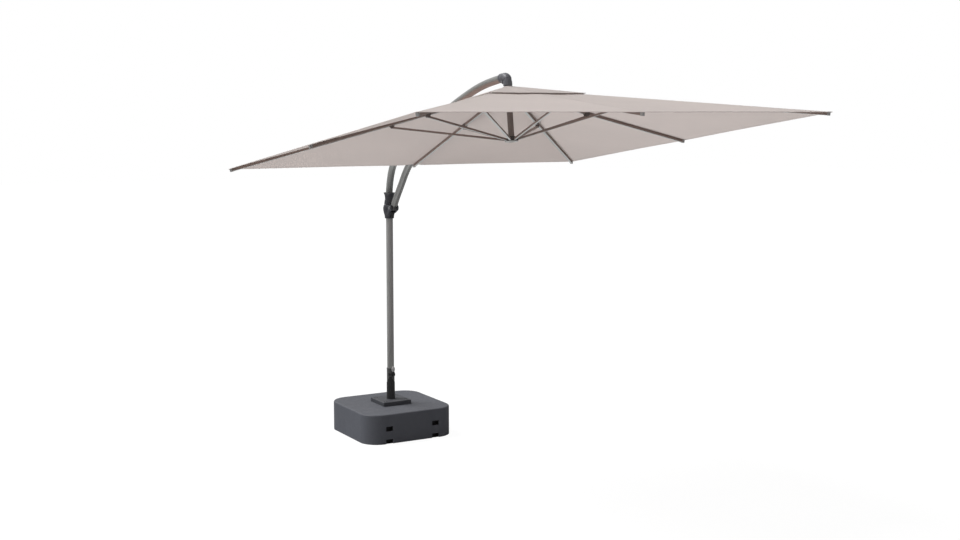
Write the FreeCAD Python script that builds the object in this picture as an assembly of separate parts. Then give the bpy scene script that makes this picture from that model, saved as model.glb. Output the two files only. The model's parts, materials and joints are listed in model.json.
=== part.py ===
import FreeCAD, Part
import os
from math import sin, cos, atan2, radians, degrees, hypot, pi, sqrt
from FreeCAD import Vector as V, Placement, Rotation

# Cantilever parasol, millimetres.  Origin: centre of the base underside, on the mast axis.
# +Z is up, +X runs from the mast towards the raised free edge of the canopy.  All hinge
# axes of the mast, boom and strut lie along Y.  The canopy parts are drawn upright about
# their own Z axis and then tilted into place.

os.makedirs("parts", exist_ok=True)

X_AXIS, Y_AXIS, Z_AXIS = V(1, 0, 0), V(0, 1, 0), V(0, 0, 1)

# ---------------------------------------------------------------------------
# Driving dimensions
# ---------------------------------------------------------------------------
# base
BASE_HALF = 396.0        # half side of the square base
BASE_R = 152.0           # plan corner radius
BASE_H = 240.0           # top of the cover
BASE_WALL = 4.0
LID_T = 5.0
FOOT_H = 6.0             # rubber feet under the frame
FRAME_TOP = FOOT_H + 40.0
HUB_PLATE_TOP = FRAME_TOP + 8.0
SLAB_BOTTOM = FOOT_H + 2.0
SLAB_TOP = SLAB_BOTTOM + 100.0
PLATE_HALF = 127.0       # square mounting plate on the cover
PLATE_TOP = BASE_H + 34.0
BOLT_OFFSET = 92.0
BOLT_HOLE_R = 6.5
SOCKET_HOLE_R = 36.05    # hole round the socket in the frame and the plate

# socket and swivel lock
SOCKET_R, SOCKET_BORE = 32.0, 30.1
SOCKET_BOTTOM, SOCKET_FLOOR = FRAME_TOP - 2.0, FRAME_TOP + 6.0
SOCKET_TOP = 533.0
LOCK_X, LOCK_Z = 45.0, 482.0        # lock pin axis
LEVER_TOP = 506.0

# mast
MAST_R, MAST_WALL = 28.5, 2.6
MAST_BOTTOM, MAST_TOP = 262.0, 1903.0
HEAD_Z = 1893.0          # underside of the mast head

# linkage
HINGE_X, HINGE_Z = 0.0, 1930.0      # boom hinge axis
FOOT_X, FOOT_Z = 74.0, 1866.0       # strut foot axis on the slider
JOINT_X, JOINT_Z = 870.0, 2535.0    # strut head axis under the boom
SLIDER_BOTTOM, SLIDER_TOP = 1777.0, 1889.0
GRIP_X, GRIP_Z = 53.0, 1825.0       # squeeze lever axis
BOOM_BOTTOM = 1956.0
BOOM_R, STRUT_R = 28.0, 27.0
ARM_WALL = 5.6           # boom and strut, measured away from the flute
FLUTE_DEPTH = 3.4

# canopy frame, in its own upright frame unless noted
TILT = 7.9073            # degrees about Y
CANOPY_X, CANOPY_Z = 1919.0, 2421.7  # canopy origin in the parasol frame
RIB_TIP = 1500.0         # rib tips lie on a 3.0 m square
HUB_R, HUB_Z = 55.0, 353.0          # rib hinge circle on the crown
RUNNER_R, RUNNER_Z = 38.0, 30.0     # stay pivot circle on the runner
RIB_W, RIB_H, RIB_WALL = 18.0, 21.0, 1.6
RIB_END_CAP = 22.0
STAY_W, STAY_WALL = 15.0, 1.4
PIN_DROP = 22.0          # stay pin below the rib centre line
MID_BRACKET, CORNER_BRACKET = 640.0, 860.0  # bracket radius on short and long ribs
POLE_R, POLE_WALL, POLE_TOP = 21.0, 2.2, 424.0

# elbow between the boom and the centre pole
ELBOW_H = 430.6          # height of the bend centre on the canopy axis
BEND_R = 34.0            # bend radius of the centre line
ELBOW_R = 31.5           # outside radius
ARM_END = 9.0            # degrees, slope of the boom where it meets the elbow
BEND_TURN = 90.0 + ARM_END - TILT   # angle of the whole bend
BEND_SHORT = 27.0        # degrees the hood and the core each stop short of the whole bend
COLLAR_GAP = 16.0        # boom end to the start of the bend

# fabric
FABRIC_HALF = 1511.0     # half side of the fabric edge
FABRIC_H = 366.4         # rise of the fabric from the rib tips to the axis
FABRIC_LIFT = 13.6
OPENING_HALF = 230.0
SHEET_T = 2.0
VENT_HALF, VENT_HOLE = 380.0, 24.0
VENT_BOTTOM, VENT_TOP = 303.0, 392.0


# ---------------------------------------------------------------------------
# Helpers
# ---------------------------------------------------------------------------
def box(x0, x1, y0, y1, z0, z1):
    return Part.makeBox(x1 - x0, y1 - y0, z1 - z0, V(x0, y0, z0))


def cyl_z(x, y, z0, z1, r):
    return Part.makeCylinder(r, z1 - z0, V(x, y, z0), Z_AXIS)


def disc(z0, z1, r):
    """Cylinder on the Z axis."""
    return cyl_z(0, 0, z0, z1, r)


def ring(z0, z1, r_out, r_in):
    """Plain tube on the Z axis."""
    return disc(z0, z1, r_out).cut(disc(z0 - 1, z1 + 1, r_in))


def cyl_y(x, z, y0, y1, r):
    return Part.makeCylinder(r, y1 - y0, V(x, y0, z), Y_AXIS)


def pin_y(x, z, half, r):
    """Cylinder along Y, centred on y = 0."""
    return cyl_y(x, z, -half, half, r)


def both_sides(a, b):
    """A range and its mirror image about zero."""
    return (a, b), (-b, -a)


def headed_pin(x, z, half, r, head, head_r):
    """Pin along Y with a head on each end; head is the range of the +Y head."""
    pin = pin_y(x, z, half, r)
    for y0, y1 in both_sides(*head):
        pin = pin.fuse(cyl_y(x, z, y0, y1, head_r))
    return pin.removeSplitter()


def fuse(shapes):
    result = shapes[0]
    for shape in shapes[1:]:
        result = result.fuse(shape)
    return result.removeSplitter()


def largest(shape):
    return max(shape.Solids, key=lambda solid: solid.Volume)


def placed(shape, placement):
    moved = shape.copy()
    moved.Placement = placement.multiply(moved.Placement)
    return moved


def turn_z(angle):
    return Placement(V(0, 0, 0), Rotation(Z_AXIS, angle))


def turn_y(x, z, angle):
    """Turn about Y, then move to (x, 0, z)."""
    return Placement(V(x, 0, z), Rotation(Y_AXIS, angle))


def polygon_face(points):
    return Part.Face(Part.makePolygon(points + [points[0]]))


def plate_xz(outline, y0, y1):
    """Flat plate from an (x, z) outline, between y0 and y1."""
    face = polygon_face([V(x, y0, z) for x, z in outline])
    return face.extrude(V(0, y1 - y0, 0))


def vertical_edges(shape):
    return [e for e in shape.Edges
            if abs(e.Vertexes[0].Point.z - e.Vertexes[1].Point.z) > 1e-6]


def long_edges(shape):
    return [e for e in shape.Edges if e.BoundBox.XMax - e.BoundBox.XMin > 100]


def edges_at(shape, z, tol=0.01):
    """Edges that lie flat at height z."""
    return [e for e in shape.Edges if all(abs(v.Point.z - z) < tol for v in e.Vertexes)
            and abs(e.BoundBox.ZMin - z) < tol and abs(e.BoundBox.ZMax - z) < tol]


def rounded_prism(half, r, z0, z1):
    """Square prism on the Z axis with rounded vertical edges."""
    block = box(-half, half, -half, half, z0, z1)
    return block.makeFillet(r, vertical_edges(block))


def spline(points):
    """Smooth curve in the XZ plane through (x, z) points."""
    curve = Part.BSplineCurve()
    curve.interpolate([V(x, 0, z) for x, z in points])
    return curve


def turned(outline):
    """Solid of revolution about the mast axis, smooth through (radius, z) points."""
    r0, z0 = outline[0]
    r1, z1 = outline[-1]
    edges = [spline(outline).toShape(),
             Part.makeLine(V(r1, 0, z1), V(0, 0, z1)),
             Part.makeLine(V(0, 0, z1), V(0, 0, z0)),
             Part.makeLine(V(0, 0, z0), V(r0, 0, z0))]
    return Part.Face(Part.Wire(edges)).revolve(V(0, 0, 0), Z_AXIS, 360)


def export(shape, name):
    solids = shape.Solids
    assert solids, name
    for solid in solids:
        assert solid.isValid(), name
    out = solids[0] if len(solids) == 1 else Part.makeCompound(solids)
    out.exportStep("parts/%s.step" % name)


# ---------------------------------------------------------------------------
# Base
# ---------------------------------------------------------------------------
QUARTERS = [(sx, sy) for sx in (1, -1) for sy in (1, -1)]
BOLT_XY = [(sx * BOLT_OFFSET, sy * BOLT_OFFSET) for sx, sy in QUARTERS]
SLOT_Y, SLOT_W = 208.0, 60.0
SLOT_HEIGHTS = ((-1.0, 36.0), (103.0, 141.0))   # the lower row breaks the bottom rim


def base_cover():
    cover = rounded_prism(BASE_HALF, BASE_R, 0.0, BASE_H)
    cover = cover.makeFillet(13.0, edges_at(cover, BASE_H))
    cover = cover.cut(rounded_prism(BASE_HALF - BASE_WALL, BASE_R - BASE_WALL,
                                    -1.0, BASE_H - LID_T))
    # slots in the +X and -X walls
    for x0, x1 in both_sides(370, 410):
        for y in (SLOT_Y, -SLOT_Y):
            for z0, z1 in SLOT_HEIGHTS:
                cover = cover.cut(box(x0, x1, y - SLOT_W / 2, y + SLOT_W / 2, z0, z1))
    cover = cover.cut(disc(BASE_H - 20, BASE_H + 5, 42.0))
    for x, y in BOLT_XY:
        cover = cover.cut(cyl_z(x, y, BASE_H - 20, BASE_H + 5, BOLT_HOLE_R))
    return cover


def cross_frame():
    """Crossed bars on the feet, a centre plate and four posts up to the lid."""
    reach, half_w = 352, 25
    frame = fuse([box(-reach, reach, -half_w, half_w, FOOT_H, FRAME_TOP),
                  box(-half_w, half_w, -reach, reach, FOOT_H, FRAME_TOP),
                  rounded_prism(118, 10, FRAME_TOP, HUB_PLATE_TOP)])
    frame = fuse([frame] + [cyl_z(x, y, HUB_PLATE_TOP, BASE_H - LID_T, 11.0)
                            for x, y in BOLT_XY])
    for x, y in BOLT_XY:
        frame = frame.cut(cyl_z(x, y, BASE_H - 60.0, BASE_H, 5.0))
    return frame.cut(disc(SOCKET_BOTTOM, FRAME_TOP + 20, SOCKET_HOLE_R))


def ballast_slabs():
    """One slab in each quarter, notched at the centre and rounded at the outer corner."""
    near = 31.0
    far = near + 318.0
    slabs = []
    for sx, sy in QUARTERS:
        slab = box(near, far, near, far, SLAB_BOTTOM, SLAB_TOP)
        corner = [e for e in vertical_edges(slab)
                  if abs(e.Vertexes[0].Point.x - far) < 0.1
                  and abs(e.Vertexes[0].Point.y - far) < 0.1]
        slab = slab.makeFillet(120.0, corner)
        slab = slab.makeChamfer(5.0, edges_at(slab, SLAB_TOP))
        slab = slab.cut(box(0, 122, 0, 122, 0, 200))
        if sx < 0:
            slab = slab.mirror(V(0, 0, 0), X_AXIS)
        if sy < 0:
            slab = slab.mirror(V(0, 0, 0), Y_AXIS)
        slabs.append(slab)
    return Part.makeCompound(slabs)


def rubber_feet():
    """Feet under the frame centre and bar ends, and two under each slab quarter."""
    feet = [disc(0, FOOT_H, 40)]
    for x, y in ((330, 0), (-330, 0), (0, 330), (0, -330)):
        feet.append(cyl_z(x, y, 0, FOOT_H, 22))
    for sx, sy in QUARTERS:
        for offset, r in ((250, 28), (150, 20)):
            feet.append(cyl_z(sx * offset, sy * offset, 0, SLAB_BOTTOM, r))
    return Part.makeCompound(feet)


WASHER_BOTTOM, WASHER_TOP = PLATE_TOP - 11.0, PLATE_TOP - 9.0


def mounting_plate():
    plate = rounded_prism(PLATE_HALF, 8.0, BASE_H, PLATE_TOP)
    plate = plate.makeFillet(6.0, edges_at(plate, PLATE_TOP))
    plate = plate.cut(disc(BASE_H - 1, PLATE_TOP + 1, SOCKET_HOLE_R))
    for x, y in BOLT_XY:
        plate = plate.cut(cyl_z(x, y, BASE_H - 1, PLATE_TOP + 1, BOLT_HOLE_R))
        plate = plate.cut(cyl_z(x, y, WASHER_BOTTOM, PLATE_TOP + 1, 13.0))
    return plate


def plate_bolts():
    head_r, head_h = 9.2, 7.0    # across the hexagon corners, height
    bolts = []
    for x, y in BOLT_XY:
        shank = cyl_z(x, y, BASE_H - 55.0, WASHER_TOP, 4.95)
        washer = cyl_z(x, y, WASHER_BOTTOM, WASHER_TOP, 11.0)
        corners = [V(x + head_r * cos(radians(60 * k)), y + head_r * sin(radians(60 * k)),
                     WASHER_TOP) for k in range(6)]
        hexagon = polygon_face(corners).extrude(V(0, 0, head_h))
        bolts.append(fuse([shank, washer, hexagon]))
    return Part.makeCompound(bolts)


export(base_cover(), "base_cover")
export(cross_frame(), "cross_frame")
export(ballast_slabs(), "ballast_slabs")
export(rubber_feet(), "rubber_feet")
export(mounting_plate(), "mounting_plate")
export(plate_bolts(), "plate_bolts")


# ---------------------------------------------------------------------------
# Socket and swivel lock
# ---------------------------------------------------------------------------
def socket_tube():
    """Fixed tube with a solid floor and a thin collar at its top."""
    tube = disc(SOCKET_BOTTOM, SOCKET_TOP, SOCKET_R)
    tube = tube.cut(disc(SOCKET_FLOOR, SOCKET_TOP + 1, SOCKET_BORE))
    collar = disc(SOCKET_TOP - 9.0, SOCKET_TOP, 33.2).cut(disc(400, 600, SOCKET_BORE))
    return tube.fuse(collar).removeSplitter()


def swivel_bushes():
    """Two thin bushes in which the mast turns."""
    heights = ((SOCKET_FLOOR + 212.0, SOCKET_FLOOR + 252.0), (478.0, 526.0))
    return Part.makeCompound([ring(z0, z1, SOCKET_BORE - 0.05, MAST_R + 0.05)
                              for z0, z1 in heights])


def socket_shroud():
    """Sleeve round the socket, flared at the foot, with two slopes cut from its top."""
    foot_r, body_r, flare_h = 35.6, 34.2, 70.0
    shroud = Part.makeCone(foot_r, body_r, flare_h, V(0, 0, PLATE_TOP), Z_AXIS)
    shroud = shroud.fuse(disc(PLATE_TOP + flare_h, 462.0, body_r))
    for y, turn in ((9.0, 0.0), (-9.0, 180.0)):
        slope = Rotation(Z_AXIS, turn).multiply(Rotation(X_AXIS, -62.0))
        place = turn_z(-30.0).multiply(Placement(V(0, y, 458.0), slope))
        shroud = shroud.cut(placed(box(-80, 80, 0, 80, 0, 140), place))
    shroud = shroud.cut(disc(BASE_H, 480.0, SOCKET_R + 0.05)).removeSplitter()
    return largest(shroud)


def lock_collar():
    """Two clamp ears on the +X side of the socket, and the headed pin through them."""
    z0, z1 = LOCK_Z - 11, LOCK_Z + 11
    ears = fuse([box(28, 52, -15.5, -9.5, z0, z1),
                 box(28, 52, 9.5, 15.5, z0, z1),
                 disc(z0, z1, 35.5).common(box(18, 60, -60, 60, 400, 600))])
    ears = ears.cut(disc(450.0, 520.0, SOCKET_R + 0.05))
    ears = ears.cut(box(33.6, 60, -7.5, 7.5, 450, 520))
    ears = ears.cut(pin_y(LOCK_X, LOCK_Z, 20, 3.0))
    pin = headed_pin(LOCK_X, LOCK_Z, 15.5, 2.98, head=(15.5, 17.5), head_r=5.0)
    return Part.makeCompound([largest(ears), pin])


def lock_lever():
    half_w = 7.0
    lever = fuse([pin_y(LOCK_X, LOCK_Z, half_w, 9.0),
                  box(LOCK_X - 5, LOCK_X + 6, -half_w, half_w, LOCK_Z, LEVER_TOP),
                  box(LOCK_X, LOCK_X + 19, -half_w, half_w, LOCK_Z - 4, LOCK_Z + 8)])
    lever = lever.cut(pin_y(LOCK_X, LOCK_Z, 20, 3.06))
    return largest(lever.cut(disc(400, 600, 35.8)))


def lever_pad():
    """Ellipsoid pad on the lever, cut flat underneath and hollowed round the socket."""
    stretch = FreeCAD.Matrix()
    stretch.scale(8.0, 15.0, 25.0)
    pad = Part.makeSphere(1.0).transformGeometry(stretch)
    pad.translate(V(LOCK_X + 4.0, 0, 527.0))
    pad = pad.cut(box(0, 100, -30, 30, 470, LEVER_TOP + 0.05))
    return largest(pad.cut(disc(400, 600, 35.0)))


export(socket_tube(), "socket_tube")
export(swivel_bushes(), "swivel_bushes")
export(socket_shroud(), "socket_shroud")
export(lock_collar(), "lock_collar")
export(lock_lever(), "lock_lever")
export(lever_pad(), "lever_pad")

# ---------------------------------------------------------------------------
# Mast (turns in the socket)
# ---------------------------------------------------------------------------
# (radius, z) up the outside of the mast head
HEAD_OUTLINE = [(42.0, HEAD_Z), (40.5, 1908.0), (36.4, 1930.0), (35.6, 1944.0),
                (37.5, 1962.0), (42.5, 1978.0), (47.0, 1987.0)]


def mast_foot_plug():
    """Plug in the mast foot on a cone that stands on the socket floor."""
    rim_bottom = MAST_BOTTOM - 6.0
    cone_bottom = SOCKET_FLOOR + 0.05
    plug = disc(rim_bottom, MAST_BOTTOM, MAST_R + 1.1)
    plug = plug.fuse(disc(MAST_BOTTOM, MAST_BOTTOM + 50.0, MAST_R - MAST_WALL - 0.02))
    plug = plug.fuse(Part.makeCone(9.0, 16.0, rim_bottom - cone_bottom,
                                   V(0, 0, cone_bottom), Z_AXIS))
    return plug.removeSplitter()


def mast_head():
    """Waisted cup, hollow and open on the +X side, that holds the boom hinge."""
    head = turned(HEAD_OUTLINE)
    head = head.cut(box(-31.5, 43.6, -30.0, 30.0, 1904.0, 2000.0))
    head = head.cut(box(10, 80, -30.0, 30.0, 1898.0, 1910.0))
    head = head.cut(disc(HEAD_Z - 1, MAST_TOP + 0.02, MAST_R + 0.02))
    head = head.cut(pin_y(HINGE_X, HINGE_Z, 60, 6.0))
    return largest(head).removeSplitter()


export(ring(MAST_BOTTOM, MAST_TOP, MAST_R, MAST_R - MAST_WALL), "mast_tube")
export(mast_foot_plug(), "mast_foot_plug")
export(mast_head(), "mast_head")
export(pin_y(HINGE_X, HINGE_Z, 36.5, 5.98), "boom_hinge_pin")


# ---------------------------------------------------------------------------
# Boom
# ---------------------------------------------------------------------------
def section(curve, r, flute):
    """Round section at the start of the curve, with a flute on the inner side of the bow."""
    centre = curve.value(curve.FirstParameter)
    along = curve.tangent(curve.FirstParameter)[0]
    if flute <= 0:
        return Part.Wire([Part.Circle(centre, along, r).toShape()])
    inward = Y_AXIS.cross(along)
    inward.normalize()

    def point(angle, radius):
        return centre + inward * (radius * cos(angle)) + Y_AXIS * (radius * sin(angle))

    mouth = radians(16.0)                # half angle of the flute at the surface
    floor = mouth - radians(3)           # half angle at its bottom
    return Part.Wire([
        Part.Arc(point(mouth, r), point(pi, r), point(2 * pi - mouth, r)).toShape(),
        Part.makeLine(point(-mouth, r), point(-floor, r - flute)),
        Part.makeLine(point(-floor, r - flute), point(floor, r - flute)),
        Part.makeLine(point(floor, r - flute), point(mouth, r))])


def sweep(curve, r, flute=0.0):
    pipe = Part.BRepOffsetAPI.MakePipeShell(Part.Wire([curve.toShape()]))
    pipe.setBiNormalMode(Y_AXIS)
    pipe.add(section(curve, r, flute))
    pipe.build()
    pipe.makeSolid()
    return Part.Solid(pipe.shape())


def fluted_tube(curve, r):
    return sweep(curve, r, FLUTE_DEPTH).cut(sweep(curve, r - ARM_WALL))


tilt_rad, arm_end_rad = radians(TILT), radians(ARM_END)
# centre of the elbow bend, and the point where the boom axis meets the bend
ELBOW_X = CANOPY_X - ELBOW_H * sin(tilt_rad) - BEND_R * cos(tilt_rad)
ELBOW_Z = CANOPY_Z + ELBOW_H * cos(tilt_rad) - BEND_R * sin(tilt_rad)
BEND_START = V(ELBOW_X - BEND_R * sin(arm_end_rad), 0, ELBOW_Z + BEND_R * cos(arm_end_rad))
ARM_DIR = V(cos(arm_end_rad), 0, sin(arm_end_rad))

# (x, z) along the boom axis, from the hinge to the elbow
BOOM_PATH = [
    (0, BOOM_BOTTOM), (3, 2000), (10, 2050), (23, 2098), (44, 2153), (68, 2197.5),
    (108, 2247), (172, 2303), (272, 2363), (420, 2428), (600, 2499), (800, 2576),
    (1000, 2653), (1137, 2705.5), (1302, 2763), (1441, 2806), (1598, 2842), (1705, 2859.6),
    (BEND_START.x - COLLAR_GAP * ARM_DIR.x, BEND_START.z - COLLAR_GAP * ARM_DIR.z)]
boom_curve = spline(BOOM_PATH)
boom_tube = fluted_tube(boom_curve, BOOM_R)
boom_fill = sweep(boom_curve, BOOM_R + 0.05)    # clearance for parts that fit round the boom


def boom_foot():
    """Hinge eye with a spigot that fits into the boom."""
    half_w = 27.0
    neck = disc(HINGE_Z, BOOM_BOTTOM, 27.9).common(
        box(-28, 28, -half_w, half_w, HINGE_Z, 1960))
    foot = pin_y(HINGE_X, HINGE_Z, half_w, 23.0).fuse(neck)
    foot = foot.fuse(disc(BOOM_BOTTOM - 1, 1990.0, 21.8))
    foot = foot.cut(pin_y(HINGE_X, HINGE_Z, 60, 6.05)).removeSplitter()
    return foot.cut(boom_tube)


def strut_bracket():
    """Saddle under the boom with two cheeks; its pin hole is oversize for the pin."""
    boom_slope = degrees(atan2(76.0, 200.0))
    x, z = JOINT_X, JOINT_Z
    bracket = fuse([box(x - 34, x + 34, -20.0, -13.0, z - 16, z + 80),
                    box(x - 34, x + 34, 13.0, 20.0, z - 16, z + 80),
                    box(x - 46, x + 46, -31.0, 31.0, z + 26, z + 96)])
    bracket = bracket.cut(boom_fill)
    above = placed(box(-200, 200, -60, 60, 0, 200), turn_y(x, 2602.0, -boom_slope))
    between = placed(box(-200, 200, -13.0, 13.0, -120, 0), turn_y(x, z + 34.0, -boom_slope))
    bracket = bracket.cut(above).cut(between)
    return largest(bracket.cut(pin_y(x, z, 40, 9.6)))


def bend(r, start, end):
    """Solid bar of radius r bent round the elbow centre, between angles past BEND_START."""
    centre = V(ELBOW_X, 0, ELBOW_Z)
    face = Part.Face(Part.Wire([Part.Circle(BEND_START, ARM_DIR, r).toShape()]))
    face.rotate(centre, Y_AXIS, start)
    return face.revolve(centre, Y_AXIS, end - start)


def boom_fork():
    """Hood on the boom end: collar over the tube, then a curved shell round the bend."""
    bore = 29.6
    turn = BEND_TURN - BEND_SHORT

    def collar(r, length, back):
        return Part.makeCylinder(r, length, BEND_START - ARM_DIR * back, ARM_DIR)

    hood = bend(ELBOW_R, 0, turn).fuse(collar(ELBOW_R, 40.0, 40.0)).fuse(
        collar(33.6, 11.0, 42.0))
    hood = hood.cut(bend(bore, 0, turn + 2).fuse(collar(bore, COLLAR_GAP, COLLAR_GAP)))
    hood = hood.cut(pin_y(ELBOW_X, ELBOW_Z, 19.6, 13.6))
    for y0, y1 in both_sides(19.8, 25.0):
        tab = placed(box(-6.5, 6.5, y0, y1, 0, 30), turn_y(ELBOW_X, ELBOW_Z, -ARM_END - 38.0))
        hood = hood.fuse(tab).fuse(cyl_y(ELBOW_X, ELBOW_Z, y0, y1, 9.0))
    hood = hood.cut(boom_fill).cut(pin_y(ELBOW_X, ELBOW_Z, 60, 4.0)).removeSplitter()
    return largest(hood)


export(boom_tube, "boom_tube")
export(boom_foot(), "boom_foot")
export(strut_bracket(), "strut_bracket")
export(boom_fork(), "boom_fork")

# ---------------------------------------------------------------------------
# Slider on the mast, with the strut foot pin and the squeeze lever
# ---------------------------------------------------------------------------
# (radius, z) up the outside of the slider
SLIDER_OUTLINE = [(37.5, SLIDER_BOTTOM), (38.3, 1790.0), (41.5, 1808.0), (47.5, 1830.0),
                  (50.5, 1852.0), (48.8, 1872.0), (43.0, SLIDER_TOP)]
# (x, z) round the arm that joins each cheek to the slider body
CHEEK_ARM = [(8, 1888), (FOOT_X - 14, FOOT_Z + 20.5), (FOOT_X + 6, FOOT_Z - 24.0),
             (48, 1824), (8, 1812)]


def slider_core(r):
    """Cylinder on the mast axis, longer than the slider."""
    return disc(1700, 1900, r)


def slider_body():
    body = turned(SLIDER_OUTLINE)
    for y0, y1 in both_sides(22.0, 36.0):
        body = body.fuse(plate_xz(CHEEK_ARM, y0, y1)).fuse(cyl_y(FOOT_X, FOOT_Z, y0, y1, 25.0))
    # room for the strut foot between the cheeks
    body = body.cut(pin_y(FOOT_X, FOOT_Z, 21.8, 24.0))
    body = body.cut(box(50, 130, -21.8, 21.8, FOOT_Z - 24.0, 1900)).removeSplitter()
    body = body.cut(disc(SLIDER_BOTTOM - 1, SLIDER_TOP + 1, MAST_R + 1.6))
    body = body.cut(pin_y(FOOT_X, FOOT_Z, 60, 7.0))
    # slot for the squeeze lever and pocket for its bracket
    body = body.cut(box(20, 60, -8.5, 8.5, 1760.0, 1838.0).cut(slider_core(31.5)))
    pocket = box(30, 60, -14.0, 14.0, GRIP_Z - 9.5, GRIP_Z + 9.5)
    return body.cut(pocket.cut(slider_core(36.0)))


def slider_shell(body, y0, y1):
    return largest(body.common(box(-200, 300, y0, y1, 1700, 2000)))


def slider_liners():
    return Part.makeCompound([ring(z0, z1, MAST_R + 1.58, MAST_R + 0.05)
                              for z0, z1 in ((1782.0, 1802.0), (1862.0, 1884.0))])


def squeeze_lever():
    """Lever on the +X side of the slider, hinged near its top."""
    grip = fuse([pin_y(GRIP_X, GRIP_Z, 8.0, 6.5),
                 box(GRIP_X - 3, GRIP_X + 6.5, -8.0, 8.0, 1781.0, GRIP_Z),
                 box(40.0, GRIP_X + 4, -8.0, 8.0, 1779.0, 1786.0)])
    grip = grip.cut(pin_y(GRIP_X, GRIP_Z, 20, 2.56))
    return largest(grip.cut(slider_core(38.0)))


def lever_bracket():
    """Two ears on a back plate in the slider pocket, and the lever pin."""
    half_w = 13.4
    z0, z1 = GRIP_Z - 9, GRIP_Z + 9
    ears = fuse([box(30, GRIP_X + 6, 8.7, half_w, z0, z1),
                 box(30, GRIP_X + 6, -half_w, -8.7, z0, z1),
                 box(30, 40.0, -half_w, half_w, z0, z1)])
    ears = ears.cut(slider_core(36.05)).cut(pin_y(GRIP_X, GRIP_Z, 40, 2.5))
    return Part.makeCompound([largest(ears), pin_y(GRIP_X, GRIP_Z, half_w, 2.49)])


slider = slider_body()
export(slider_shell(slider, 0.15, 200), "slider_shell_left")
export(slider_shell(slider, -200, -0.15), "slider_shell_right")
export(slider_liners(), "slider_liners")
export(headed_pin(FOOT_X, FOOT_Z, 37.5, 6.98, head=(36.0, 40.0), head_r=13.0),
       "strut_foot_pin")
export(squeeze_lever(), "squeeze_lever")
export(lever_bracket(), "lever_bracket")

# ---------------------------------------------------------------------------
# Strut
# ---------------------------------------------------------------------------
# (x, z) along the strut axis, from the slider to the boom
STRUT_PATH = [(93, 1893), (105, 1910.5), (128, 1943), (158, 1982), (200, 2034.5),
              (236, 2080), (268, 2121), (300, 2160), (334, 2196.5), (371, 2230),
              (450, 2290), (560, 2357), (680, 2427), (806, 2500)]
strut_curve = spline(STRUT_PATH)
strut_tube = fluted_tube(strut_curve, STRUT_R)


def strut_foot():
    """Eye on the slider pin, a neck, and a plug inside the tube."""
    start = strut_curve.value(strut_curve.FirstParameter)
    along = strut_curve.tangent(strut_curve.FirstParameter)[0]
    foot = pin_y(FOOT_X, FOOT_Z, 21.0, 22.0)
    foot = foot.fuse(Part.makeCylinder(20.8, 36.0, start - along * 36.0, along))
    plug = sweep(strut_curve, STRUT_R - ARM_WALL - 0.2).common(
        Part.makeCylinder(40.0, 34.0, start - along * 1.0, along))
    foot = foot.fuse(largest(plug))
    return largest(foot.cut(pin_y(FOOT_X, FOOT_Z, 60, 7.05)).removeSplitter())


def strut_head():
    """Eye on the bracket pin with a tongue to a disc on the tube end."""
    end = strut_curve.value(strut_curve.LastParameter)
    along = strut_curve.tangent(strut_curve.LastParameter)[0]
    joint = V(JOINT_X, 0, JOINT_Z)
    to_joint = joint - end
    to_joint.normalize()
    tongue = placed(box(-70, 0, -12.0, 12.0, -15.0, 15.0),
                    Placement(joint, Rotation(X_AXIS, to_joint)))
    head = pin_y(JOINT_X, JOINT_Z, 12.0, 19.0).fuse(tongue)
    head = head.fuse(Part.makeCylinder(STRUT_R - 0.3, 10.0, end, along))
    head = head.cut(pin_y(JOINT_X, JOINT_Z, 60, 6.0))
    head = largest(head.cut(strut_tube).removeSplitter())
    # keep only what lies beyond the tube end
    beyond = placed(box(-120, 120, -60, 60, 0, 200), Placement(end, Rotation(Z_AXIS, along)))
    return largest(head.common(beyond))


export(strut_tube, "strut_tube")
export(strut_foot(), "strut_foot")
export(strut_head(), "strut_head")
export(headed_pin(JOINT_X, JOINT_Z, 24.0, 5.98, head=(21.0, 24.0), head_r=13.0),
       "strut_head_pin")

# ---------------------------------------------------------------------------
# Elbow, centre pole, crown and runner
# ---------------------------------------------------------------------------
CANOPY = turn_y(CANOPY_X, CANOPY_Z, -TILT)
SPOKES = [turn_z(45.0 * k) for k in range(8)]


def elbow():
    """Moving half of the elbow: bent core, neck on the pole, hub round the hinge pin."""
    neck_bottom = 401.0
    core = bend(29.2, BEND_SHORT, BEND_TURN)
    neck = disc(neck_bottom, ELBOW_H, ELBOW_R)
    neck = neck.makeFillet(3.0, edges_at(neck, neck_bottom))
    core = core.fuse(placed(neck, CANOPY))
    core = core.fuse(pin_y(ELBOW_X, ELBOW_Z, 19.2, 13.2))
    core = core.cut(placed(disc(390.0, POLE_TOP, POLE_R + 0.02), CANOPY))
    return largest(core.cut(pin_y(ELBOW_X, ELBOW_Z, 60, 4.04)).removeSplitter())


def crown_hub():
    top = 371.0
    crown = disc(337.0, top, 66.0)
    crown = crown.makeFillet(4.0, edges_at(crown, top))
    crown = crown.cut(disc(300, 400, POLE_R + 0.02))
    for spoke in SPOKES:
        crown = crown.cut(placed(box(41.0, 80, -9.6, 9.6, 320, 368.0), spoke))
        crown = crown.cut(placed(pin_y(HUB_R, HUB_Z, 16, 3.0), spoke))
    return crown


def crown_pins():
    return Part.makeCompound([placed(pin_y(HUB_R, HUB_Z, 13.0, 2.98), spoke)
                              for spoke in SPOKES])


RUNNER_DISC_R, RUNNER_BOTTOM = 46.0, 20.0


def runner():
    """Slotted disc with a collar, sliding on the pole; it carries the stays."""
    disc_top = 39.0
    body = disc(RUNNER_BOTTOM, disc_top, RUNNER_DISC_R)
    body = body.makeFillet(2.5, edges_at(body, disc_top))
    body = body.fuse(disc(disc_top, 52.0, 27.0))
    body = body.cut(disc(0, 70, POLE_R + 0.06))
    for spoke in SPOKES:
        body = body.cut(placed(box(29.0, 90, -8.4, 8.4, 21.5, 90.0), spoke))
    return largest(body)


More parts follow.
